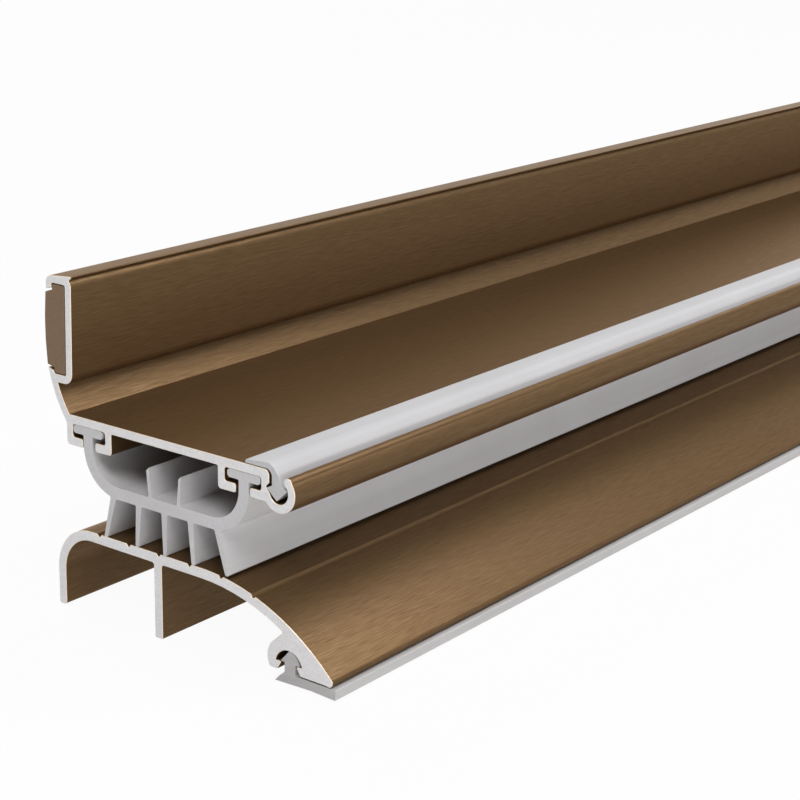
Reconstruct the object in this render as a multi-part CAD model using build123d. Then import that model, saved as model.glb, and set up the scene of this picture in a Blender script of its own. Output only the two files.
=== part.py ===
from build123d import *
from math import acos, atan2, cos, degrees, radians, sin, sqrt, tan
import os

# Door bottom seal standing on its threshold. Sizes are in millimetres.
# Every piece is one length of a section that lies in the YZ plane. In the section, y is measured
# from the middle leg of the threshold towards the upstand at the back, and z up from the sill.
length = 914.0

# Threshold plate: bent shell with a ribbed top, a back leg, a middle leg and a sloping nose.
threshold_height = 13.5
threshold_wall = 1.6
back_reach = 21.8
back_corner_radius = 7.5
flat_reach = 8.65
nose_radius = 35.7
nose_tip_radius = 0.75
nose_tip_drop = 0.1
mid_leg_width = 1.6
leg_root_radius = 0.5
leg_foot_radius = 0.7
leg_edge_radius = 0.25
groove_count = 6
groove_pitch = 6.33
groove_width = 0.9
groove_depth = 0.5
first_groove_reach = 12.45

# Round socket under the nose, and the boss around it.
nose_socket_setback = 7.4
nose_socket_radius = 2.55
nose_socket_sink = 0.6
nose_boss_radius = 3.13
nose_boss_back = 0.92
nose_boss_rise = 0.93
nose_boss_web_angle = 48.0
nose_boss_edge_radius = 0.5
nose_boss_root_radius = 0.35
nose_jaw_thickness = 1.35
nose_mouth_width = 2.95
nose_mouth_flare = 0.72
nose_jaw_tip = 0.2

# Rounding of the barbs and thin edges of the soft seals.
soft_edge_radius = 0.1

# Base seal: barbed head in the nose socket, flat foot on the sill.
foot_thickness = 1.75
foot_gap = 0.2
foot_front = 8.5
foot_toe = 1.9
foot_toe_radius = 0.4
foot_edge_radius = 0.15
base_stem_play = 0.5
base_barb_play = 0.7
base_head_play = 0.1
base_offset = 0.25

# Door carrier: plate with two T-slots below it.
gasket_height = 16.6
carrier_wall = 1.4
gasket_mid_reach = 1.6
slot_pitch = 31.5
slot_width = 7.05
slot_height = 2.05
slot_mouth = 2.7
slot_wall = 1.3
slot_front_wall = 1.5
slot_inner_radius = 0.45
slot_outer_radius = 0.6
slot_lip_radius = 0.4
plate_edge_radius = 0.9

# Open round socket along the front edge of the plate.
lip_socket_radius = 1.72
lip_socket_wall = 1.33
lip_socket_front = 1.77
lip_socket_drop = 1.6
arm_tip_angle = 44.0
arm_tip_radius = 0.78
notch_top = 0.5
notch_drop = 1.14
notch_depth = 0.63
notch_angle = 18.7

# Upstand: channel open to the back, carried on a bowed web.
door_seat = 39.75
upstand_wall = 1.3
web_lean = 1.25
channel_rise = 5.87
channel_height = 14.2
channel_depth = 4.05
channel_lip = 1.2
channel_lip_height = 0.8
channel_lip_slope = 0.3
channel_lip_radius = 0.2
channel_inner_radius = 0.4
channel_corner_radius = 1.8
bowed_web_radius = 22.0
bowed_web_wall = 1.3
top_edge_radius = 1.2
top_slope = 0.55
bead_reach = 0.45
bead_groove_depth = 0.45
bead_groove_drop = 0.75
shoulder_drop = 0.6
shoulder_radius = 1.2

# Cover strip: snaps into the channel of the upstand.
cover_clearance = 0.15
cover_proud = 0.15
cover_bow = 0.33
cover_edge_slope = 0.6
cover_inner_radius = 0.3

# Compression gasket: slides into the T-slots and presses its fins on the threshold.
gasket_depth = 10.0
gasket_wall = 1.9
gasket_radius = 7.15
head_thickness = 1.3
head_side_play = 0.4
head_end_radius = 0.5
stem_side_play = 0.2
upper_fin_spacing = 5.8
upper_fin_height = 4.65
upper_fin_width = 0.55
upper_fin_splay = 0.4
lower_fin_count = 5
lower_fin_pitch = 5.35
lower_fin_root = 1.15
lower_fin_tip = 0.65
lower_fin_splay = 0.46
fin_root_radius = 0.3

# Front lip seal: barbed foot in the front socket, lip laid back over the plate.
lip_reach = 4.5
lip_tip_thickness = 0.5
lip_tip_radius = 0.3
lip_root_thickness = 0.9
lip_clearance = 0.15
lip_shoulder = 0.85
lip_inner_radius = 0.9
lip_outer_radius = 1.3
lip_stem_width = 1.65
lip_stem_gap = 0.6
lip_barb_play = 0.15
lip_barb_rise = 0.46
lip_barb_slope = 0.3
lip_apex_play = 0.25

# Heights of the section, each found from the piece below it.
shell_underside = threshold_height - threshold_wall
nose_underside = foot_thickness + foot_gap
jaw_top = nose_underside + nose_jaw_thickness
plate_bottom = threshold_height + gasket_height
plate_top = plate_bottom + carrier_wall
slot_bottom = plate_bottom - slot_height
channel_floor = plate_top + channel_rise
channel_ceiling = channel_floor + channel_height
upstand_top = channel_ceiling + upstand_wall

# Places across the section, each found from the slots and the seat of the door.
gasket_mid = -gasket_mid_reach
back_slot = gasket_mid + slot_pitch / 2
front_slot = gasket_mid - slot_pitch / 2
plate_back = back_slot + slot_width / 2 + slot_wall
plate_front = front_slot - slot_width / 2 - slot_front_wall
web_face = plate_front + door_seat
channel_back = web_face + upstand_wall + channel_depth
lip_socket_y = plate_front - lip_socket_front
lip_socket_z = plate_bottom - lip_socket_drop

# Places in the nose, each found from the top surface that curves down to its rounded tip.
nose_arc_z = threshold_height - nose_radius
nose_tip_z = nose_underside - nose_tip_drop + nose_tip_radius
nose_tip_run = sqrt((nose_radius - nose_tip_radius) ** 2 - (nose_tip_z - nose_arc_z) ** 2)
nose_tip_y = -flat_reach - nose_tip_run
nose_socket_y = nose_tip_y + nose_socket_setback
nose_socket_z = jaw_top - nose_socket_sink
base_mid = nose_socket_y - base_offset

# The whole section is centred on y = 0 once its back and front ends are known.
section_back = channel_back + cover_proud + cover_bow
section_front = base_mid - foot_front
section_mid = (section_back + section_front) / 2


def rounded_face(corners):
    """Flat face from corners (y, z, radius), each corner rounded to its own radius."""
    points = [(y, z) for y, z, radius in corners]
    radii = [radius for y, z, radius in corners]
    return make_face(FilletPolyline(*points, radius=radii, close=True))


def block(y_low, y_high, z_low, z_high):
    """Upright rectangle between two places across the section and two heights."""
    middle = Pos((y_low + y_high) / 2, (z_low + z_high) / 2)
    return middle * Rectangle(y_high - y_low, z_high - z_low)


def disc(y, z, radius):
    """Round of the given radius about a point of the section."""
    return Pos(y, z) * Circle(radius)


def round_near(face, radius, *points):
    """Round the corner of a section that lies nearest to each given point."""
    for y, z in points:
        corner = face.vertices().sort_by_distance((y, z, 0))[0]
        face = fillet(corner, radius)
    return face


def extruded(section):
    """One length of a section along X, centred over the origin."""
    profile = Plane.YZ.offset(-length / 2) * Pos(-section_mid, 0) * section
    return extrude(profile, amount=length, dir=(1, 0, 0))


def crown(inset):
    """Everything under the top surface of the threshold, set in by a distance."""
    back = back_reach - inset
    top = threshold_height - inset
    corner = back_corner_radius - inset
    radius = nose_radius - inset
    front = -flat_reach - sqrt(radius ** 2 - nose_arc_z ** 2)
    with BuildLine() as line:
        Polyline((front, 0), (back, 0), (back, top - corner))
        CenterArc((back - corner, top - corner), corner, 0, 90)
        Line((back - corner, top), (-flat_reach, top))
        CenterArc((-flat_reach, nose_arc_z), radius, 90, degrees(acos(-nose_arc_z / radius)))
    return make_face(line.line)


def surface_groove(y):
    """V-groove across the top surface of the threshold, square to the surface at y."""
    run = max(0, -y - flat_reach)
    height = nose_arc_z + sqrt(nose_radius ** 2 - run ** 2)
    slope = degrees(atan2(run, height - nose_arc_z))
    half = groove_width / 2
    vee = make_face(Polyline((-2 * half, groove_depth), (0, -groove_depth), (2 * half, groove_depth), close=True))
    return Pos(y, height) * Rot(0, 0, slope) * vee


def under_crown():
    """Everything under the top surface of the threshold, up to the rounded tip of the nose."""
    tip = Vector(nose_tip_y, nose_tip_z)
    outwards = (tip - Vector(-flat_reach, nose_arc_z)).normalized() * nose_radius
    corner = tip + outwards
    beyond_tip = make_face(Polyline(tip, corner, (corner.X, 0), (tip.X, 0), close=True))
    below_nose = block(tip.X, nose_socket_y, 0, nose_underside)
    return crown(0) - beyond_tip - below_nose + disc(tip.X, tip.Y, nose_tip_radius)


def nose_boss_centre():
    """Centre of the rounded wall behind the nose socket."""
    return Vector(nose_socket_y + nose_boss_back, nose_socket_z + nose_boss_rise)


def nose_boss_edge():
    """Corner where the rounded wall of the socket meets the underside of the nose."""
    centre = nose_boss_centre()
    drop = centre.Y - nose_underside
    return centre.X + sqrt(nose_boss_radius ** 2 - drop ** 2), nose_underside


def nose_boss_root():
    """Corner where the web of the socket runs into the inside of the shell."""
    start, along = nose_boss_web()
    offset = start - Vector(-flat_reach, nose_arc_z)
    run = -offset.dot(along)
    inner = nose_radius - threshold_wall
    corner = start + along * (run + sqrt(run ** 2 - offset.length ** 2 + inner ** 2))
    return corner.X, corner.Y


def nose_boss_web():
    """Start and direction of the straight web, which leaves the rounded wall at a tangent."""
    angle = radians(nose_boss_web_angle)
    start = nose_boss_centre() + Vector(cos(angle), sin(angle)) * nose_boss_radius
    return start, Vector(-sin(angle), cos(angle))


def nose_boss():
    """Solid front of the nose with the rounded wall of its socket, tied to the shell by a web."""
    centre = nose_boss_centre()
    start, along = nose_boss_web()
    far = start + along * nose_boss_radius
    web = make_face(Polyline(centre, start, far, (far.X, centre.Y), close=True))
    front = block(nose_tip_y, centre.X, nose_underside, threshold_height)
    above_sill = block(nose_tip_y, 0, nose_underside, threshold_height)
    return (disc(centre.X, centre.Y, nose_boss_radius) + web + front) & crown(0) & above_sill


def nose_cavity():
    """Room inside the nose socket: a round chamber over a mouth that flares downwards."""
    half = nose_mouth_width / 2
    flared = half + nose_mouth_flare
    y = nose_socket_y
    chamber = disc(y, nose_socket_z, nose_socket_radius)
    chamber = chamber & block(y - nose_socket_radius, y + nose_socket_radius, jaw_top, threshold_height)
    mouth = make_face(Polyline(
        (y - half - nose_jaw_tip, jaw_top),
        (y + half + nose_jaw_tip, jaw_top),
        (y + half, jaw_top - nose_jaw_tip),
        (y + flared, nose_underside),
        (y + flared, 0),
        (y - flared, 0),
        (y - flared, nose_underside),
        (y - half, jaw_top - nose_jaw_tip),
        close=True,
    ))
    return chamber + mouth


def threshold_plate():
    """Anodised extrusion on the sill, with its ribbed top, two legs and solid nose."""
    half_leg = mid_leg_width / 2
    back_inner = back_reach - threshold_wall
    shell = under_crown() - crown(threshold_wall)
    shell = shell + block(-half_leg, half_leg, 0, shell_underside)
    shell = shell + nose_boss() - nose_cavity()
    shell = round_near(shell, leg_root_radius, (-half_leg, shell_underside), (half_leg, shell_underside))
    shell = round_near(shell, leg_edge_radius, (-half_leg, 0), (half_leg, 0), (back_reach, 0))
    shell = round_near(shell, leg_foot_radius, (back_inner, 0))
    shell = round_near(shell, nose_boss_edge_radius, nose_boss_edge())
    shell = round_near(shell, nose_boss_root_radius, nose_boss_root())
    for index in range(groove_count):
        shell = shell - surface_groove(first_groove_reach - index * groove_pitch)
    return extruded(shell)


def base_seal():
    """Soft seal below the nose: barbed head, stem, and a flat foot with a sharp toe."""
    y = base_mid
    half_stem = nose_mouth_width / 2 - base_stem_play
    half_barb = nose_socket_radius - base_barb_play
    apex = nose_socket_z + nose_socket_radius - base_head_play
    barb_bottom = jaw_top + base_head_play
    toe = y + half_stem + foot_toe
    body = rounded_face([
        (y, apex, soft_edge_radius),
        (y + half_barb, barb_bottom, soft_edge_radius),
        (y + half_stem, barb_bottom, soft_edge_radius),
        (y + half_stem, foot_thickness, foot_toe_radius),
        (toe, 0, 0),
        (y - foot_front, 0, foot_edge_radius),
        (y - foot_front, foot_thickness, foot_edge_radius),
        (y - half_stem, foot_thickness, foot_edge_radius),
        (y - half_stem, barb_bottom, soft_edge_radius),
        (y - half_barb, barb_bottom, soft_edge_radius),
    ])
    return extruded(body)


def slot_room(middle):
    """Room inside one T-slot: a flat chamber with a narrower mouth between its lips."""
    chamber = Pos(middle, slot_bottom + slot_height / 2) * RectangleRounded(
        slot_width, slot_height, slot_inner_radius
    )
    mouth = block(middle - slot_mouth / 2, middle + slot_mouth / 2, 0, slot_bottom + slot_inner_radius)
    return chamber + mouth


def front_opening():
    """Room inside the front socket, its notch at the back and its mouth at the top."""
    y, z = lip_socket_y, lip_socket_z
    mouth_top = plate_top + carrier_wall
    run = (mouth_top - z) / tan(radians(arm_tip_angle))
    back = radians(notch_angle)
    mouth = make_face(Polyline(
        (y, z),
        (y - run, mouth_top),
        (plate_front, mouth_top),
        (plate_front, plate_bottom - notch_top),
        (plate_front + notch_depth, plate_bottom - notch_drop),
        (y + lip_socket_radius * cos(back), z - lip_socket_radius * sin(back)),
        close=True,
    ))
    return disc(y, z, lip_socket_radius) + mouth


def arm_tip():
    """Rounded bead that ends the arm of the front socket."""
    angle = radians(arm_tip_angle)
    reach = lip_socket_radius + lip_socket_wall / 2
    return disc(lip_socket_y - reach * cos(angle), lip_socket_z + reach * sin(angle), arm_tip_radius)


def bowed_web_centre():
    """Centre of the bow that runs from the back of the plate to the lower lip of the channel."""
    low = Vector(plate_back, plate_bottom)
    high = Vector(channel_back, channel_floor + channel_lip_height)
    chord = high - low
    half = chord.length / 2
    away = sqrt(bowed_web_radius ** 2 - half ** 2) / chord.length
    return Vector((low.X + high.X) / 2 - chord.Y * away, (low.Y + high.Y) / 2 + chord.X * away)


def bowed_web():
    """Bowed web from the plate up to the lower lip of the channel."""
    centre = bowed_web_centre()
    lip_top = channel_floor + channel_lip_height
    ring = disc(centre.X, centre.Y, bowed_web_radius)
    ring = ring - disc(centre.X, centre.Y, bowed_web_radius - bowed_web_wall)
    below_lip = make_face(Polyline(
        (gasket_mid, plate_bottom),
        (channel_back + channel_lip, plate_bottom),
        (channel_back + channel_lip, lip_top + channel_lip_slope),
        (channel_back - channel_lip, lip_top - channel_lip_slope),
        (gasket_mid, channel_floor),
        close=True,
    ))
    web = ring & below_lip
    room_width = channel_depth - channel_lip
    room_y = channel_back - channel_lip - room_width / 2
    room = Pos(room_y, channel_floor + channel_height / 2) * RectangleRounded(
        room_width, channel_height, channel_inner_radius
    )
    return web - room


def channel():
    """Upstand against the door: leaning web, floor, top flange with its bead, and upper lip."""
    lean = channel_height / 2 * sin(radians(web_lean))
    face_top = web_face - lean
    face_bottom = web_face + lean
    inner_top = face_top + upstand_wall
    inner_bottom = face_bottom + upstand_wall
    half_slope = top_slope / 2
    lip_inner = channel_back - channel_lip
    groove_z = upstand_top + half_slope - bead_groove_drop
    return rounded_face([
        (channel_back, channel_ceiling - channel_lip_height - channel_lip_slope, channel_lip_radius),
        (channel_back, upstand_top - half_slope, top_edge_radius),
        (face_top - bead_reach, upstand_top + half_slope, 0),
        (face_top + bead_groove_depth, groove_z, 0),
        (face_top, groove_z - shoulder_drop, shoulder_radius),
        (face_bottom, channel_floor - upstand_wall, channel_corner_radius),
        (channel_back, channel_floor - upstand_wall, 0),
        (channel_back, channel_floor, 0),
        (inner_bottom, channel_floor, channel_inner_radius),
        (inner_top, channel_ceiling, channel_inner_radius),
        (lip_inner, channel_ceiling, channel_inner_radius),
        (lip_inner, channel_ceiling - channel_lip_height, channel_lip_radius),
    ])


def behind_web():
    """Everything behind the bowed web, up to the top of the lower lip."""
    centre = bowed_web_centre()
    lip_top = channel_floor + channel_lip_height
    outside = block(gasket_mid, channel_back + channel_lip, plate_bottom, lip_top)
    return outside - disc(centre.X, centre.Y, bowed_web_radius)


def door_carrier():
    """Anodised extrusion on the foot of the door."""
    lips = slot_bottom - carrier_wall
    back_slot_front = back_slot - slot_width / 2 - slot_wall
    front_slot_back = front_slot + slot_width / 2 + slot_wall
    body = block(plate_front, plate_back, plate_bottom, plate_top)
    body = body + block(back_slot_front, plate_back, lips, plate_bottom)
    body = body + block(plate_front, front_slot_back, lips, plate_bottom)
    body = body + disc(lip_socket_y, lip_socket_z, lip_socket_radius + lip_socket_wall)
    body = body - slot_room(back_slot) - slot_room(front_slot) - front_opening() + arm_tip()
    body = body + bowed_web() + (channel() - behind_web())
    body = round_near(body, slot_outer_radius, (plate_back, lips), (back_slot_front, lips), (front_slot_back, lips))
    body = round_near(body, plate_edge_radius, (plate_front, plate_top))
    for middle in (back_slot, front_slot):
        for side in (middle - slot_mouth / 2, middle + slot_mouth / 2):
            body = round_near(body, slot_lip_radius, (side, lips), (side, slot_bottom))
    return extruded(body)


def cover_strip():
    """Solid plastic strip that fills the channel and stands slightly proud of its lips."""
    lean = channel_height / 2 * sin(radians(web_lean))
    inner = web_face + upstand_wall + cover_clearance
    bottom = channel_floor + cover_clearance
    top = channel_ceiling - cover_clearance
    neck = channel_back - channel_lip - cover_clearance
    low_lip = channel_floor + channel_lip_height + cover_clearance
    high_lip = channel_ceiling - channel_lip_height - cover_clearance
    face = channel_back + cover_proud
    edge_low = low_lip + cover_edge_slope - channel_lip_slope
    edge_high = high_lip - cover_edge_slope
    middle = (edge_low + edge_high) / 2
    tongue = rounded_face([
        (inner + lean, bottom, cover_inner_radius),
        (neck, bottom, cover_inner_radius),
        (neck, top, cover_inner_radius),
        (inner - lean, top, cover_inner_radius),
    ])
    with BuildLine() as line:
        Polyline((face, edge_low), (neck - cover_inner_radius, low_lip), (neck - cover_inner_radius, high_lip))
        Line((neck - cover_inner_radius, high_lip), (face, edge_high))
        ThreePointArc((face, edge_high), (face + cover_bow, middle), (face, edge_low))
    return extruded(tongue + make_face(line.line))


def gasket_shell(radius):
    """Everything inside the body of the gasket, for the outer or the inner radius."""
    centre_z = plate_bottom - gasket_depth + gasket_radius
    stem = slot_pitch / 2 + slot_mouth / 2 - stem_side_play
    reach = stem - gasket_radius + radius
    middle = gasket_mid
    bowl = disc(middle - reach + radius, centre_z, radius) + disc(middle + reach - radius, centre_z, radius)
    floor = block(middle - reach + radius, middle + reach - radius, centre_z - radius, plate_bottom)
    sides = block(middle - reach, middle + reach, centre_z, plate_bottom)
    return (bowl & block(middle - reach, middle + reach, 0, centre_z)) + floor + sides


def gasket_fin(index):
    """One tapered lower fin, counted from the middle one; the outer fins splay outwards."""
    root = gasket_mid + index * lower_fin_pitch
    tip = root + lower_fin_splay * index * abs(index)
    root_z = plate_bottom - gasket_depth + gasket_wall / 2
    return make_face(Polyline(
        (root - lower_fin_root / 2, root_z),
        (root + lower_fin_root / 2, root_z),
        (tip + lower_fin_tip / 2, threshold_height),
        (tip - lower_fin_tip / 2, threshold_height),
        close=True,
    ))


def upper_fin(side):
    """One thin upright fin inside the gasket, ending in a slanted edge."""
    root = gasket_mid + side * upper_fin_spacing / 2
    tip = root + side * upper_fin_splay
    floor_z = plate_bottom - gasket_depth + gasket_wall
    half = upper_fin_width / 2
    return make_face(Polyline(
        (root - half, floor_z - gasket_wall / 2),
        (root + half, floor_z - gasket_wall / 2),
        (tip + half, floor_z + upper_fin_height - half * (1 - side)),
        (tip - half, floor_z + upper_fin_height - half * (1 + side)),
        close=True,
    ))


def compression_gasket():
    """Soft gasket: two T-heads, two stems, a trough-shaped body and its fins."""
    body = gasket_shell(gasket_radius) - gasket_shell(gasket_radius - gasket_wall)
    head_width = slot_width - 2 * head_side_play
    stem = slot_pitch / 2 + slot_mouth / 2 - stem_side_play - gasket_wall / 2
    for side in (-1, 1):
        middle = gasket_mid + side * stem
        head = Pos(middle, plate_bottom - head_thickness / 2) * RectangleRounded(
            head_width, head_thickness, head_end_radius
        )
        body = body + head + upper_fin(side)
    outer = (lower_fin_count - 1) / 2
    for index in range(lower_fin_count):
        body = body + gasket_fin(index - outer)
    floor_bottom = plate_bottom - gasket_depth
    for index in range(lower_fin_count - 1):
        left = gasket_mid + (index - outer) * lower_fin_pitch + lower_fin_root / 2
        right = left + lower_fin_pitch - lower_fin_root
        body = round_near(body, fin_root_radius, (left, floor_bottom), (right, floor_bottom))
    return extruded(body)


def front_lip_seal():
    """Soft lip: barbed foot in the front socket, stem, and a lip laid back over the plate."""
    y, z = lip_socket_y, lip_socket_z
    stem_back = plate_front - lip_stem_gap
    stem_front = stem_back - lip_stem_width
    barb_top = z + lip_barb_rise
    stem_foot = barb_top + lip_barb_slope
    front_run = sqrt((lip_socket_radius - lip_barb_play) ** 2 - lip_barb_rise ** 2)
    apex = z - lip_socket_radius + lip_apex_play
    underside = plate_top + lip_clearance
    back_barb = plate_front + notch_depth - lip_barb_play
    barb_edge = plate_bottom - notch_drop
    return extruded(rounded_face([
        ((stem_back + stem_front) / 2, apex, soft_edge_radius),
        (back_barb, barb_edge, soft_edge_radius),
        (stem_back, stem_foot, 0),
        (stem_back, underside, lip_inner_radius),
        (plate_front + lip_reach, underside, soft_edge_radius),
        (plate_front + lip_reach, underside + lip_tip_thickness, lip_tip_radius),
        (stem_front + lip_shoulder, underside + lip_root_thickness, lip_outer_radius),
        (stem_front, stem_foot, 0),
        (y - front_run, barb_top, soft_edge_radius),
    ]))


os.makedirs("parts", exist_ok=True)
export_step(threshold_plate(), "parts/threshold_plate.step")
export_step(base_seal(), "parts/base_seal.step")
export_step(door_carrier(), "parts/door_carrier.step")
export_step(cover_strip(), "parts/cover_strip.step")
export_step(compression_gasket(), "parts/compression_gasket.step")
export_step(front_lip_seal(), "parts/front_lip_seal.step")
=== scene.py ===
from math import acos, asin, atan2, cos, degrees, pi, radians, sin, sqrt, tan

import bmesh
import bpy
from mathutils import Matrix, Vector


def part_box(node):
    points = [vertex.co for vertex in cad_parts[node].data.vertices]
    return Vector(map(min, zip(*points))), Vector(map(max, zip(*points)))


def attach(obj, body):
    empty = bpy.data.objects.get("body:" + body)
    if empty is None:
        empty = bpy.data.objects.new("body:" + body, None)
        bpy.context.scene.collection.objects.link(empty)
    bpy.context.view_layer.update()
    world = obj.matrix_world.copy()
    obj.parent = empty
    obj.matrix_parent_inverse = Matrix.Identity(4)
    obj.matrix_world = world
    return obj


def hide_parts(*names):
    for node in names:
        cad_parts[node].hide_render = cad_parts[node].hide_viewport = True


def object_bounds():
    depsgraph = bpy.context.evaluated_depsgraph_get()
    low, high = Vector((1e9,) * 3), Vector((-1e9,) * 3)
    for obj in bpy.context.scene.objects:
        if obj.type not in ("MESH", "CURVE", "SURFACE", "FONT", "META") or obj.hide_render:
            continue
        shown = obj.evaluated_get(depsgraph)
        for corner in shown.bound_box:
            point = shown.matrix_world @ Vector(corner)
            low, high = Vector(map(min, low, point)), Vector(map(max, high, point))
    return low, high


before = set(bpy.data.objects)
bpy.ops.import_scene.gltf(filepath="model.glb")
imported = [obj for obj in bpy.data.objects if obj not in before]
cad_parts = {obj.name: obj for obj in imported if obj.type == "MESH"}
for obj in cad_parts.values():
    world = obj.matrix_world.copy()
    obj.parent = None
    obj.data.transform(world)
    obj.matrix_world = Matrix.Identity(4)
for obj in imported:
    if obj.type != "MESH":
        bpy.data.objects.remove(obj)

cad_low, cad_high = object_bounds()


# Threshold plate.
# A bent aluminium extrusion that is screwed or glued to the sill: ribbed top, two legs, sloping nose.
# It is anodised dark bronze in the long length and then sawn, so its cut ends are bare.
mm = 0.001
near_end, far_end = cad_low.x, cad_high.x
arc_step = 4.0
deburr = 0.08
crease = radians(28)

threshold_height = 13.5
threshold_wall = 1.6
back_reach = 21.8
back_corner = 7.5
flat_reach = 8.65
nose_radius = 35.7
leg_half, leg_root, leg_foot, leg_edge = 0.8, 0.5, 0.7, 0.25
middle_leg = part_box("threshold_plate")[1].y - back_reach * mm


def direction(angle):
    """Unit vector in the section, with 0 degrees to the back and 90 degrees up."""
    return Vector((cos(radians(angle)), sin(radians(angle))))


def at(y, z, radius, angle):
    """Point on a round of the section."""
    return Vector((y, z)) + direction(angle) * radius


def cut_end(bm, runs):
    """Flat face of a cut end from the runs round it, in mm from the middle leg and the sill.

    A run is a sharp corner (y, z), a rounded corner (y, z, radius),
    or an arc (y, z, radius, first angle, sweep) about its centre.
    """
    joins, rounded = [], []
    for run in runs:
        place = (0.0, run[0], run[1])
        if len(run) == 5:
            radius, first, sweep = run[2:]
            start = at(run[0], run[1], radius, first)
            vert = bm.verts.new((0.0, start.x, start.y))
            steps = max(3, round(abs(sweep) / arc_step))
            spun = bmesh.ops.spin(bm, geom=[vert], cent=place, axis=(1, 0, 0),
                                  angle=radians(sweep), steps=steps)
            joins.append((vert, spun["geom_last"][0]))
        else:
            vert = bm.verts.new(place)
            joins.append((vert, vert))
            if len(run) == 3:
                rounded.append((vert, run[2]))
    for here, following in zip(joins, joins[1:] + joins[:1]):
        bm.edges.new((here[1], following[0]))
    bmesh.ops.edgeloop_fill(bm, edges=bm.edges[:])
    for vert, radius in rounded:
        arms = [(edge.other_vert(vert).co - vert.co) for edge in vert.link_edges]
        turn = pi - arms[0].angle(arms[1])
        steps = max(2, round(degrees(turn) / (2 * arc_step)))
        bmesh.ops.bevel(bm, geom=[vert], offset=radius * tan(turn / 2), offset_type="OFFSET",
                        segments=steps, profile=0.5, affect="VERTICES", material=-1)
    return bm.faces[:]


def profile_piece(name, runs, node, edge_break=deburr):
    """One length of a section along X. Its sides take the first material, its cut ends the second,
    and the broken edges round them the third."""
    bm = bmesh.new()
    faces = cut_end(bm, runs)
    length = (far_end - near_end) / mm - 2 * edge_break
    grown = bmesh.ops.extrude_face_region(bm, geom=faces)["geom"]
    verts = [part for part in grown if isinstance(part, bmesh.types.BMVert)]
    bmesh.ops.translate(bm, verts=verts, vec=(length, 0, 0))
    bmesh.ops.translate(bm, verts=bm.verts[:], vec=(edge_break, 0, 0))
    bmesh.ops.recalc_face_normals(bm, faces=bm.faces[:])
    ends = [face for face in bm.faces if abs(face.normal.x) > 0.9]
    if edge_break:
        bmesh.ops.inset_region(bm, faces=ends, thickness=edge_break, depth=edge_break, use_even_offset=True)
    ends = [face for face in bm.faces if len(face.verts) > 4]
    bmesh.ops.triangulate(bm, faces=ends, quad_method="BEAUTY", ngon_method="EAR_CLIP")
    bm.normal_update()
    for face in bm.faces:
        tilt = abs(face.normal.x)
        face.material_index = 0 if tilt < 0.3 else 1 if tilt > 0.9 else 2
        face.smooth = face.material_index == 0
    for edge in bm.edges:
        edge.smooth = edge.calc_face_angle(0.0) < crease
    bmesh.ops.scale(bm, verts=bm.verts[:], vec=(mm, mm, mm))
    bmesh.ops.translate(bm, verts=bm.verts[:], vec=(near_end, middle_leg, 0))
    mesh = bpy.data.meshes.new(name)
    bm.to_mesh(mesh)
    bm.free()
    piece = bpy.data.objects.new(name, mesh)
    bpy.context.scene.collection.objects.link(piece)
    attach(piece, "root")
    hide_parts(node)
    return piece


def crown_arc(radius, first, last):
    """Stretch of the nose's top or inside surface between two angles."""
    return (-flat_reach, threshold_height - nose_radius, radius, first, last - first)


def crown_point(radius, angle):
    """Corner on a round about the centre of the nose's curve."""
    return tuple(at(-flat_reach, threshold_height - nose_radius, radius, angle))


groove_half, groove_depth = 0.45, 0.5
flat_grooves = (12.45, 6.12, -0.21, -6.54)
curved_grooves = (12.87, 19.2)
groove_turn = degrees(groove_half / nose_radius)

tip_y, tip_z, tip_radius = -33.277, 2.6, 0.75
nose_underside = 1.95
socket_y, socket_z, socket_radius = -25.877, 2.7, 2.55
jaw_top = 3.3
mouth_half, mouth_flare, jaw_tip = 1.475, 0.72, 0.2
boss_y, boss_z, boss_radius = -24.957, 3.63, 3.13
boss_edge, boss_web, boss_root = 0.5, 48.0, 0.35

top_runs = [
    (back_reach, 0, leg_edge),
    (back_reach - back_corner, threshold_height - back_corner, back_corner, 0, 90),
]
for y in flat_grooves:
    top_runs += [
        (y + groove_half, threshold_height),
        (y, threshold_height - groove_depth),
        (y - groove_half, threshold_height),
    ]
angle = 90.0
for reach in curved_grooves:
    groove = 90 + degrees(asin((reach - flat_reach) / nose_radius))
    top_runs += [
        crown_arc(nose_radius, angle, groove - groove_turn),
        crown_point(nose_radius - groove_depth, groove),
    ]
    angle = groove + groove_turn
tip_angle = degrees(atan2(tip_z - threshold_height + nose_radius, tip_y + flat_reach))
underside_angle = 360 - degrees(asin((tip_z - nose_underside) / tip_radius))
top_runs += [
    crown_arc(nose_radius, angle, tip_angle),
    (tip_y, tip_z, tip_radius, tip_angle, underside_angle - tip_angle),
]

chamber_angle = degrees(asin((jaw_top - socket_z) / socket_radius))
socket_runs = [
    (socket_y - mouth_half - mouth_flare, nose_underside),
    (socket_y - mouth_half, jaw_top - jaw_tip),
    (socket_y - mouth_half - jaw_tip, jaw_top),
    (socket_y, socket_z, socket_radius, 180 - chamber_angle, 2 * chamber_angle - 180),
    (socket_y + mouth_half + jaw_tip, jaw_top),
    (socket_y + mouth_half, jaw_top - jaw_tip),
    (socket_y + mouth_half + mouth_flare, nose_underside),
]

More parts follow.
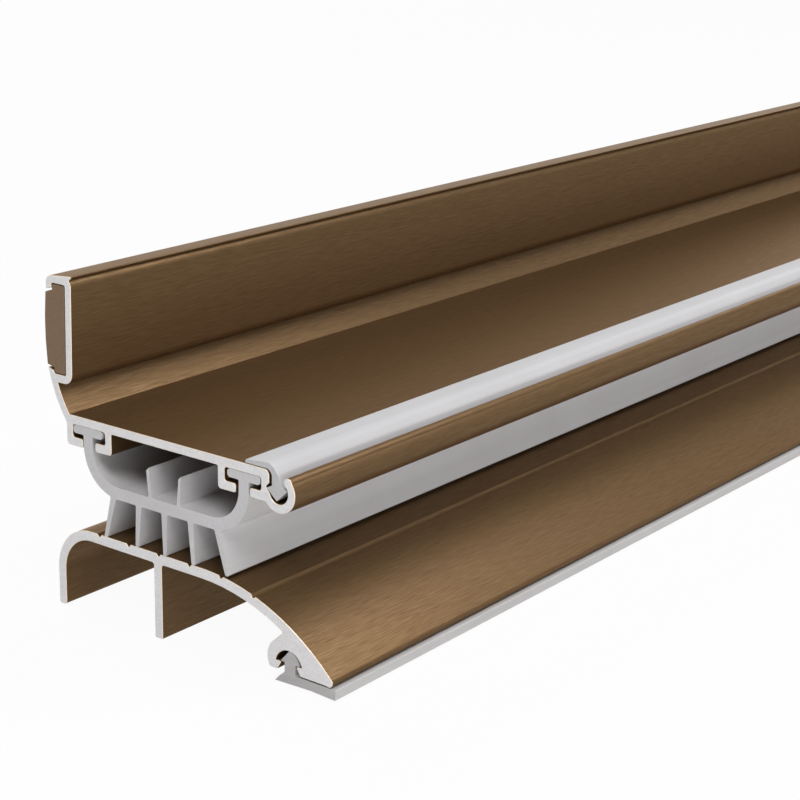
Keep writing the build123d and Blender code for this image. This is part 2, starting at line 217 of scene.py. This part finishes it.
edge_z = nose_underside + boss_edge
edge_y = boss_y + sqrt((boss_radius - boss_edge) ** 2 - (boss_z - edge_z) ** 2)
edge_angle = degrees(atan2(edge_z - boss_z, edge_y - boss_y))
web_start = at(boss_y, boss_z, boss_radius, boss_web)
web_way = direction(boss_web + 90)
inner_radius = nose_radius - threshold_wall
from_centre = web_start - Vector((-flat_reach, threshold_height - nose_radius))
run = -from_centre.dot(web_way)
web_end = web_start + web_way * (run + sqrt(run ** 2 - from_centre.length_squared + inner_radius ** 2))
web_angle = degrees(atan2(web_end.y - threshold_height + nose_radius, web_end.x + flat_reach))
inside_runs = [
    (edge_y, edge_z, boss_edge, 270, 90 + edge_angle),
    (boss_y, boss_z, boss_radius, edge_angle, boss_web - edge_angle),
    (web_end.x, web_end.y, boss_root),
    crown_arc(inner_radius, web_angle - 2, 90),
    (-leg_half, threshold_height - threshold_wall, leg_root),
    (-leg_half, 0, leg_edge),
    (leg_half, 0, leg_edge),
    (leg_half, threshold_height - threshold_wall, leg_root),
    (back_reach - back_corner, threshold_height - back_corner, back_corner - threshold_wall, 90, -90),
    (back_reach - threshold_wall, 0, leg_foot),
]
threshold = profile_piece("threshold_plate_body", top_runs + socket_runs + inside_runs,
                          "threshold_plate")


def from_hex(code):
    """Linear colour from an sRGB hex code."""
    parts = [int(code[i:i + 2], 16) / 255 for i in (1, 3, 5)]
    return tuple(c / 12.92 if c <= 0.04045 else ((c + 0.055) / 1.055) ** 2.4 for c in parts) + (1.0,)


def add(tree, kind, settings=None, **links):
    """One node with its settings, and its inputs set or linked by name, or by number as i0, i1 and so on."""
    node = tree.nodes.new(kind)
    for key, value in (settings or {}).items():
        setattr(node, key, value)
    for key, value in links.items():
        numbered = key[0] == "i" and key[1:].isdigit()
        socket = node.inputs[int(key[1:]) if numbered else key.replace("_", " ")]
        if isinstance(value, bpy.types.NodeSocket):
            tree.links.new(value, socket)
        else:
            socket.default_value = value
    return node


def new_material(name):
    """Empty node material with its output."""
    material = bpy.data.materials.new(name)
    material.use_nodes = True
    tree = material.node_tree
    tree.nodes.clear()
    return material, tree


# Bronze anodised aluminium. The metal is brushed along its length and dyed in a deep oxide film, so
# it is satin and half milky, and its gloss runs round the section more than along it. The strokes are
# finer than the render can show, so they are drawn about 0.12 mm wide and 3.6 mm long.
def anodised_bronze(name, light, dark):
    material, tree = new_material(name)
    place = add(tree, "ShaderNodeTexCoord").outputs["Object"]
    brushed = add(tree, "ShaderNodeMapping", Vector=place, Scale=(280, 8500, 8500)).outputs["Vector"]
    strokes = add(tree, "ShaderNodeTexNoise", Vector=brushed,
                  Scale=1.0, Detail=1.0, Roughness=0.6).outputs["Fac"]
    dyed = add(tree, "ShaderNodeMapping", Vector=place, Scale=(8, 60, 60)).outputs["Vector"]
    cloud = add(tree, "ShaderNodeTexNoise", Vector=dyed, Scale=1.0, Detail=3.0, Roughness=0.55).outputs["Fac"]
    both = add(tree, "ShaderNodeMix", {"data_type": "FLOAT"}, i0=0.12, i2=strokes, i3=cloud).outputs[0]
    tint = add(tree, "ShaderNodeValToRGB", Fac=both)
    tint.color_ramp.elements[0].position = 0.3
    tint.color_ramp.elements[0].color = from_hex(dark)
    tint.color_ramp.elements[1].position = 0.7
    tint.color_ramp.elements[1].color = from_hex(light)
    rough = add(tree, "ShaderNodeMapRange", Value=strokes, i1=0.3, i2=0.7, i3=0.42, i4=0.34).outputs["Result"]
    bump = add(tree, "ShaderNodeBump", Height=strokes, Strength=0.3, Distance=0.00003).outputs["Normal"]
    around = add(tree, "ShaderNodeTangent", {"direction_type": "RADIAL", "axis": "X"}).outputs["Tangent"]
    shader = add(tree, "ShaderNodeBsdfPrincipled", Base_Color=tint.outputs["Color"], Metallic=0.5,
                 Roughness=rough, Normal=bump, Specular_IOR_Level=0.3, Specular_Tint=from_hex("#d9bb98"),
                 Anisotropic=0.4, Tangent=around)
    add(tree, "ShaderNodeOutputMaterial", Surface=shader.outputs[0])
    return material


# Bare aluminium where the saw went through. Straight fine marks of the blade cross the end,
# and the fresh cut is a pale, almost white grey beside the anodising.
def saw_cut_aluminium(name, light, dark, roughness):
    material, tree = new_material(name)
    place = add(tree, "ShaderNodeTexCoord").outputs["Object"]
    blade = add(tree, "ShaderNodeMapping", Vector=place,
                Rotation=(radians(24), 0, 0), Scale=(1, 350, 4200)).outputs["Vector"]
    marks = add(tree, "ShaderNodeTexNoise", Vector=blade,
                Scale=1.0, Detail=3.0, Roughness=0.65).outputs["Fac"]
    grit = add(tree, "ShaderNodeTexNoise", Vector=place, Scale=3500.0, Detail=2.0).outputs["Fac"]
    both = add(tree, "ShaderNodeMix", {"data_type": "FLOAT"}, i0=0.5, i2=marks, i3=grit).outputs[0]
    tint = add(tree, "ShaderNodeValToRGB", Fac=both)
    tint.color_ramp.elements[0].position = 0.3
    tint.color_ramp.elements[0].color = from_hex(dark)
    tint.color_ramp.elements[1].position = 0.7
    tint.color_ramp.elements[1].color = from_hex(light)
    bump = add(tree, "ShaderNodeBump", Height=both, Strength=0.15, Distance=0.00004).outputs["Normal"]
    shader = add(tree, "ShaderNodeBsdfPrincipled", Base_Color=tint.outputs["Color"], Metallic=0.35,
                 Roughness=roughness, Normal=bump)
    add(tree, "ShaderNodeOutputMaterial", Surface=shader.outputs[0])
    return material


bronze = anodised_bronze("bronze_anodised_aluminium", "#6a543a", "#58422b")
bare_metal = saw_cut_aluminium("saw_cut_aluminium", "#f0eeee", "#dcdadb", 0.5)
# The chamfered rim round each cut end is real, but its cream, near-white colour, paler and warmer than the
# cut face, is a painted highlight of the edge catching the light.
rim_highlight_paint = saw_cut_aluminium("cut_rim_painted_highlight", "#fff0d8", "#f0dcc0", 0.35)
for material in (bronze, bare_metal, rim_highlight_paint):
    threshold.data.materials.append(material)


# Base seal.
# An extruded soft rubber strip under the nose. Its barbed head is pushed into the round socket,
# and its flat foot with a sharp toe lies on the sill and keeps water out.
base_runs = [
    (-26.02, 5.26, 0.12),
    (-24.38, 3.4, 0.08),
    (-25.15, 3.42, 0.08),
    (-25.15, 1.9, 0.4),
    (-24.2, 1.12, 1.2),
    (-23.3, 0.17, 0.05),
    (-30.0, 0.4, 6.0),
    (-34.6, 0.22, 0.12),
    (-34.6, 1.75, 0.15),
    (-27.15, 1.75, 0.15),
    (-27.15, 3.42, 0.08),
    (-27.95, 3.4, 0.08),
    (-27.4, 4.6, 0.8),
    (-26.45, 5.2, 0.3),
]


# Light grey thermoplastic rubber, extruded through a die: matt, with a soft sheen, faint lengthwise
# die lines about 0.7 mm apart and slightly uneven tone. The knife-cut ends are the same grey.
def seal_rubber(name, light, dark, roughness):
    material, tree = new_material(name)
    place = add(tree, "ShaderNodeTexCoord").outputs["Object"]
    drawn = add(tree, "ShaderNodeMapping", Vector=place, Scale=(9, 1500, 1500)).outputs["Vector"]
    lines = add(tree, "ShaderNodeTexNoise", Vector=drawn, Scale=1.0, Detail=2.0, Roughness=0.5).outputs["Fac"]
    grain = add(tree, "ShaderNodeTexNoise", Vector=place, Scale=2600.0, Detail=2.0).outputs["Fac"]
    cloud = add(tree, "ShaderNodeTexNoise", Vector=place, Scale=90.0, Detail=3.0).outputs["Fac"]
    tone = add(tree, "ShaderNodeMix", {"data_type": "FLOAT"}, i0=0.5, i2=lines, i3=cloud).outputs[0]
    tint = add(tree, "ShaderNodeValToRGB", Fac=tone)
    tint.color_ramp.elements[0].position = 0.3
    tint.color_ramp.elements[0].color = from_hex(dark)
    tint.color_ramp.elements[1].position = 0.7
    tint.color_ramp.elements[1].color = from_hex(light)
    relief = add(tree, "ShaderNodeMix", {"data_type": "FLOAT"}, i0=0.5, i2=lines, i3=grain).outputs[0]
    bump = add(tree, "ShaderNodeBump", Height=relief, Strength=0.25, Distance=0.00005).outputs["Normal"]
    shader = add(tree, "ShaderNodeBsdfPrincipled", Base_Color=tint.outputs["Color"], Roughness=roughness,
                 IOR=1.5, Normal=bump)
    add(tree, "ShaderNodeOutputMaterial", Surface=shader.outputs[0])
    return material


base_seal = profile_piece("base_seal_strip", base_runs, "base_seal", edge_break=0)
base_rubber = seal_rubber("base_seal_rubber_grey", "#c8c6c6", "#bdbaba", 0.55)
for side in range(3):
    base_seal.data.materials.append(base_rubber)


# Door carrier.
# A second bronze anodised extrusion, fixed to the foot of the door: a flat plate with two T-slots
# below it, a round socket along its front edge, and a channelled upstand on a bowed web.
plate_bottom, plate_top = 30.1, 31.5
slot_bottom, slot_lips = 28.05, 26.65
back_slot, front_slot = 14.15, -17.35
slot_half, slot_mouth_half = 3.525, 1.35
slot_wall = 1.3
lip_edge, slot_corner, jaw_edge, jaw_root = 0.4, 0.45, 0.6, 0.25
plate_front = -22.375
plate_back = back_slot + slot_half + slot_wall
ring_y, ring_z, ring_radius, ring_wall = -24.145, 28.5, 1.72, 1.33
arm_angle, arm_radius = 136.0, 0.78
bow_y, bow_z, bow_radius, bow_wall = 1.311, 43.214, 22.0, 1.3
face_top, face_bottom, upstand_wall = 17.22, 17.53, 1.3
channel_back, channel_floor, channel_ceiling = 22.725, 37.37, 51.57
channel_lip, lip_height, lip_slope = 1.2, 0.8, 0.3
upstand_top, top_slope = 52.87, 0.275
bead, bead_groove = 0.45, 52.395
plate_edge, foot_bend, brow, hook, channel_root = 0.9, 1.8, 1.2, 0.2, 0.4


def bow_angle(radius, z):
    """Angle on a round of the bowed web at a height."""
    return degrees(asin((z - bow_z) / radius))


def slot_runs(middle):
    """Round one T-slot, from the lip behind its mouth to the lip before it."""
    low, high = slot_lips, slot_bottom
    return [
        (middle + slot_mouth_half, low, lip_edge), (middle + slot_mouth_half, high, lip_edge),
        (middle + slot_half, high, slot_corner), (middle + slot_half, plate_bottom, slot_corner),
        (middle - slot_half, plate_bottom, slot_corner), (middle - slot_half, high, slot_corner),
        (middle - slot_mouth_half, high, lip_edge), (middle - slot_mouth_half, low, lip_edge),
    ]


inner_bow = bow_radius - bow_wall
bow_foot = bow_angle(inner_bow, plate_top)
bow_head = bow_angle(inner_bow, channel_floor - upstand_wall)
outer_head = bow_angle(bow_radius, channel_floor + lip_height)
outer_foot = bow_angle(bow_radius, plate_bottom)
upstand_runs = [
    (plate_front, plate_top, plate_edge),
    (bow_y, bow_z, inner_bow, bow_foot, bow_head - bow_foot),
    (face_bottom, channel_floor - upstand_wall, foot_bend),
    (face_top, bead_groove - brow / 2, brow),
    (face_top + bead, bead_groove),
    (face_top - bead, upstand_top + top_slope, hook),
    (channel_back, upstand_top - top_slope, brow),
    (channel_back, channel_ceiling - lip_height - lip_slope, hook),
    (channel_back - channel_lip, channel_ceiling - lip_height, hook),
    (channel_back - channel_lip, channel_ceiling, channel_root),
    (face_top + upstand_wall, channel_ceiling, channel_root),
    (face_bottom + upstand_wall, channel_floor, channel_root),
    (channel_back - channel_lip, channel_floor, channel_root),
    (channel_back - channel_lip, channel_floor + lip_height - lip_slope),
    (bow_y, bow_z, bow_radius, outer_head, outer_foot - outer_head),
]
behind_slots, before_slots = back_slot - slot_half - slot_wall, front_slot + slot_half + slot_wall
under_runs = [(plate_back, slot_lips, jaw_edge)] + slot_runs(back_slot)
under_runs += [(behind_slots, slot_lips, jaw_edge), (behind_slots, plate_bottom, jaw_root)]
under_runs += [(before_slots, plate_bottom, jaw_root), (before_slots, slot_lips, jaw_edge)]
under_runs += slot_runs(front_slot)

ring_outer = ring_radius + ring_wall
arm_reach = ring_radius + ring_wall / 2
arm = at(ring_y, ring_z, arm_reach, arm_angle)


def meeting(radius):
    """Angle, from the middle of the arm, at which its rounded end leaves one side of the ring."""
    return degrees(acos((arm_reach ** 2 + radius ** 2 - arm_radius ** 2) / (2 * arm_reach * radius)))


ring_start = degrees(asin((slot_lips - ring_z) / ring_outer))
ring_tooth, tooth_edge = 18.7, 0.1
outside_angle = arm_angle + meeting(ring_outer)
inside_angle = arm_angle + meeting(ring_radius)
outside = at(ring_y, ring_z, ring_outer, outside_angle) - arm
inside = at(ring_y, ring_z, ring_radius, inside_angle) - arm
arm_first = degrees(atan2(outside.y, outside.x))
arm_last = degrees(atan2(inside.y, inside.x))
ring_runs = [
    (ring_y, ring_z, ring_outer, ring_start, outside_angle - 360 - ring_start),
    (arm.x, arm.y, arm_radius, arm_first, arm_last - arm_first),
    (ring_y, ring_z, ring_radius, inside_angle, 360 - ring_tooth - inside_angle),
    (plate_front + 0.63, plate_bottom - 1.14, tooth_edge),
    (plate_front, plate_bottom - 0.5, tooth_edge),
]
carrier = profile_piece("door_carrier_body", upstand_runs + under_runs + ring_runs,
                        "door_carrier")
for material in (bronze, bare_metal, rim_highlight_paint):
    carrier.data.materials.append(material)


# Cover strip.
# A brown plastic strip that snaps into the channel of the upstand and hides the screws to the door.
# Its end is cut square and keeps the same brown all through.
cover_runs = [
    (18.98, 37.52, 0.3),
    (21.375, 37.52, 0.3),
    (21.375, 38.37, 0.08),
    (22.875, 38.62, 0.1),
    (-26.19, 44.32, 49.39, -6.4, 12.8),
    (22.875, 50.02, 0.1),
    (21.375, 50.52, 0.08),
    (21.375, 51.42, 0.3),
    (18.67, 51.42, 0.3),
]


# Brown ABS, extruded: matt, with faint die lines 0.3 mm apart that run lengthwise.
# Its sawn end takes the same brown and noise, without separate saw marks.
def brown_plastic(name):
    material, tree = new_material(name)
    place = add(tree, "ShaderNodeTexCoord").outputs["Object"]
    drawn = add(tree, "ShaderNodeMapping", Vector=place, Scale=(30, 3500, 3500)).outputs["Vector"]
    lines = add(tree, "ShaderNodeTexNoise", Vector=drawn, Scale=1.0, Detail=3.0, Roughness=0.6).outputs["Fac"]
    tint = add(tree, "ShaderNodeValToRGB", Fac=lines)
    tint.color_ramp.elements[0].position = 0.3
    tint.color_ramp.elements[0].color = from_hex("#72583c")
    tint.color_ramp.elements[1].position = 0.7
    tint.color_ramp.elements[1].color = from_hex("#806548")
    bump = add(tree, "ShaderNodeBump", Height=lines, Strength=0.2, Distance=0.00005).outputs["Normal"]
    shader = add(tree, "ShaderNodeBsdfPrincipled", Base_Color=tint.outputs["Color"], Roughness=0.5,
                 IOR=1.53, Normal=bump)
    add(tree, "ShaderNodeOutputMaterial", Surface=shader.outputs[0])
    return material


cover = profile_piece("cover_strip_body", cover_runs, "cover_strip")
cover_plastic = brown_plastic("brown_abs_plastic")
for side in range(3):
    cover.data.materials.append(cover_plastic)


# Compression gasket.
# One grey rubber extrusion: two T-heads that slide along the slots, a trough-shaped body,
# two thin fins inside it, and five fins below that press on the ribbed threshold.
gasket_mid = -1.6
stem_out, gasket_wall = 16.9, 1.9
trough_bottom = plate_bottom - 10.0
trough_radius = 7.15
head_mid, head_half, head_bottom, head_edge, stem_root = 15.95, 3.125, 28.8, 0.5, 0.15
head_play, fin_gap = 0.02, 0.02
fin_pitch, fin_root, fin_tip, fin_splay = 5.35, 1.15, 0.7, 0.46
fin_bend, fin_edge = 0.35, 0.28
inner_fin, inner_fin_half, inner_fin_rise, inner_fin_splay = 2.9, 0.28, 4.65, 0.4
inner_fin_bend, inner_fin_edge = 0.3, 0.03


def head_runs(side):
    """Round one T-head from the outside of its stem to the inside, for the back (1) or front (-1)."""
    middle = side * head_mid
    stem_in = side * (stem_out - gasket_wall)
    return [
        (side * stem_out, head_bottom, stem_root),
        (middle + side * head_half, head_bottom, head_edge),
        (middle + side * head_half, plate_bottom - head_play, head_edge),
        (middle - side * head_half, plate_bottom - head_play, head_edge),
        (middle - side * head_half, head_bottom, head_edge),
        (stem_in, head_bottom, stem_root),
    ]


def inner_fin_runs(side):
    """One thin fin inside the trough, ending in a slanted edge, from its inner to its outer side."""
    floor = trough_bottom + gasket_wall
    root, tip = side * inner_fin, side * (inner_fin + inner_fin_splay)
    top = floor + inner_fin_rise
    return [
        (root - side * inner_fin_half, floor, inner_fin_bend),
        (tip - side * inner_fin_half, top - inner_fin_half * (1 - side), inner_fin_edge),
        (tip + side * inner_fin_half, top - inner_fin_half * (1 + side), inner_fin_edge),
        (root + side * inner_fin_half, floor, inner_fin_bend),
    ]


trough_inner = trough_radius - gasket_wall
corner_out = stem_out - trough_radius
corner_z = trough_bottom + trough_radius


def trough_underside(y):
    """Height of the underside of the trough, which curves up beyond its flat middle."""
    beyond = max(0.0, abs(y) - corner_out)
    return corner_z - sqrt(trough_radius ** 2 - beyond ** 2)


def lower_fin_runs(index):
    """One tapered lower fin, from its front to its back; the outer fins splay outwards."""
    root = index * fin_pitch
    tip = root + fin_splay * index * abs(index)
    front, back = root - fin_root / 2, root + fin_root / 2
    return [
        (front, trough_underside(front), fin_bend),
        (tip - fin_tip / 2, threshold_height + fin_gap, fin_edge),
        (tip + fin_tip / 2, threshold_height + fin_gap, fin_edge),
        (back, trough_underside(back), fin_bend),
    ]


outer_root = 2 * fin_pitch + fin_root / 2 - corner_out
trough_angle = degrees(asin(outer_root / trough_radius)) + 4
gasket_runs = []
for index in (-2, -1, 0, 1, 2):
    gasket_runs += lower_fin_runs(index)
gasket_runs += [(corner_out, corner_z, trough_radius, 270 + trough_angle, 90 - trough_angle)]
gasket_runs += head_runs(1)
gasket_runs += [(corner_out, corner_z, trough_inner, 0, -90)]
gasket_runs += inner_fin_runs(1)[::-1] + inner_fin_runs(-1)
gasket_runs += [(-corner_out, corner_z, trough_inner, 270, -90)]
gasket_runs += head_runs(-1)[::-1]
gasket_runs += [(-corner_out, corner_z, trough_radius, 180, 90 - trough_angle)]
gasket_runs = [(run[0] + gasket_mid,) + tuple(run[1:]) for run in gasket_runs]
gasket = profile_piece("compression_gasket_body", gasket_runs,
                       "compression_gasket", edge_break=0)
gasket_rubber = seal_rubber("compression_gasket_rubber_grey", "#dbd9db", "#d0cecf", 0.55)
for side in range(3):
    gasket.data.materials.append(gasket_rubber)


# Front lip seal.
# A softer, paler rubber strip. Its barbed foot sits in the round socket at the front of the plate,
# and its lip lies back over the plate, where it closes against the face of the door.
lip_runs = [
    (-23.82, 27.2, 0.12),
    (-21.95, 28.82, 0.1),
    (-22.95, 29.3, 0.1),
    (-22.95, 31.66, 1.1),
    (-17.9, 31.66, 0.1),
    (-18.0, 32.18, 0.25),
    (-22.75, 32.6, 1.6),
    (-24.1, 31.0, 1.6),
    (-24.65, 29.46, 0.15),
    (-25.7, 29.02, 0.1),
]
lip = profile_piece("front_lip_seal_strip", lip_runs, "front_lip_seal", edge_break=0)
lip_rubber = seal_rubber("lip_seal_rubber_pale", "#cfced0", "#c7c6c8", 0.65)
for side in range(3):
    lip.data.materials.append(lip_rubber)


# Floor.
# A plain white studio table. It shows as white to the camera and still takes a pale shadow.
floor_half, floor_drop = 6.0, 0.0002
bm = bmesh.new()
bmesh.ops.create_grid(bm, x_segments=1, y_segments=1, size=floor_half)
floor_mesh = bpy.data.meshes.new("studio_floor")
bm.to_mesh(floor_mesh)
bm.free()
floor = bpy.data.objects.new("studio_floor", floor_mesh)
bpy.context.scene.collection.objects.link(floor)
floor.location = (0, 0, -floor_drop)

material, tree = new_material("white_table")


def white_rays(tree):
    """1 for the rays that show the background: from the camera, or off or through a shiny surface."""
    path = add(tree, "ShaderNodeLightPath").outputs
    through = add(tree, "ShaderNodeMath", {"operation": "MAXIMUM"},
                  i0=path["Is Glossy Ray"], i1=path["Is Transmission Ray"]).outputs[0]
    return add(tree, "ShaderNodeMath", {"operation": "MAXIMUM"},
               i0=path["Is Camera Ray"], i1=through).outputs[0]


share = add(tree, "ShaderNodeMath", {"operation": "MULTIPLY"}, i0=white_rays(tree), i1=0.95).outputs[0]
matt = add(tree, "ShaderNodeBsdfDiffuse", Color=(0.86, 0.86, 0.86, 1)).outputs[0]
glow = add(tree, "ShaderNodeEmission", Color=(1, 1, 1, 1), Strength=1.0).outputs[0]
both = add(tree, "ShaderNodeMixShader", i0=share, i1=matt, i2=glow).outputs[0]
add(tree, "ShaderNodeOutputMaterial", Surface=both)
floor_mesh.materials.append(material)


# Light.
# A plain white studio. Five soft lamps light the near end: from above on the left, from over the
# top, from the front on the right, and two low ones in front. Three more light the back and far end.
world = bpy.data.worlds.new("white_room")
bpy.context.scene.world = world
world.use_nodes = True
tree = world.node_tree
tree.nodes.clear()
level = add(tree, "ShaderNodeMapRange", Value=white_rays(tree),
            i1=0.0, i2=1.0, i3=0.1, i4=1.0).outputs["Result"]
room = add(tree, "ShaderNodeBackground", Color=(1, 1, 1, 1), Strength=level).outputs[0]
add(tree, "ShaderNodeOutputWorld", Surface=room)


def soft_lamp(name, place, target, width, height, power):
    """Soft lamp, level from side to side, that faces a point of the object."""
    light = bpy.data.lights.new(name, "AREA")
    light.shape = "RECTANGLE"
    light.size, light.size_y = width, height
    light.energy = power
    lamp = bpy.data.objects.new(name, light)
    bpy.context.scene.collection.objects.link(lamp)
    lamp.location = place
    lamp.rotation_mode = "QUATERNION"
    lamp.rotation_quaternion = (Vector(target) - Vector(place)).to_track_quat("-Z", "Y")
    return lamp


soft_lamp("main_lamp", (-0.7, -0.16, 0.55), (-0.457, 0, 0.03), 0.3, 0.3, 1.9)
soft_lamp("top_lamp", (-0.035, -0.17, 0.48), (-0.45, 0, 0.03), 0.16, 0.16, 0.45)
soft_lamp("side_lamp", (-0.1, -0.3, 0.4), (-0.45, 0, 0.03), 0.2, 0.2, 0.95)
soft_lamp("front_lamp", (-0.3, -0.3, 0.1), (-0.457, 0, 0.03), 0.1, 0.1, 0.06)
soft_lamp("low_lamp", (-0.62, -0.3, 0.013), (-0.457, 0, 0.02), 0.3, 0.024, 0.25)
soft_lamp("back_lamp", (0.1, 1.3, 0.9), (0, 0, 0.03), 0.8, 0.8, 9)
soft_lamp("end_lamp", (1.4, 0.35, 0.8), (0.3, 0, 0.03), 0.6, 0.6, 3)
far_lamp = soft_lamp("far_lamp", (0.75, -0.38, 0.35), (0.4, 0, 0.03), 0.35, 0.35, 0.35)
far_lamp.data.spread = radians(50)


# Camera, at the photograph's own angle: beside the cut end, a little above it, with a long lens.
view_place = (-0.651265, -0.192130, 0.121159)
view_turn, view_tilt, view_roll = -51.87, -13.401, 0.535
focal_pixels, photo_width = 1968.5, 800
camera = bpy.data.cameras.new("camera")
camera.sensor_width = 36.0
camera.lens = focal_pixels / photo_width * camera.sensor_width
camera.shift_y = -0.15
camera.clip_start, camera.clip_end = 0.01, 50
eye = bpy.data.objects.new("camera", camera)
bpy.context.scene.collection.objects.link(eye)
eye.rotation_mode = "QUATERNION"
turn = Matrix.Rotation(radians(view_turn), 3, "Z") @ Matrix.Rotation(radians(90 + view_tilt), 3, "X")
eye.rotation_quaternion = (turn @ Matrix.Rotation(radians(view_roll), 3, "Z")).to_quaternion()
eye.location = view_place
bpy.context.scene.camera = eye

bpy.context.scene.view_settings.view_transform = "Standard"
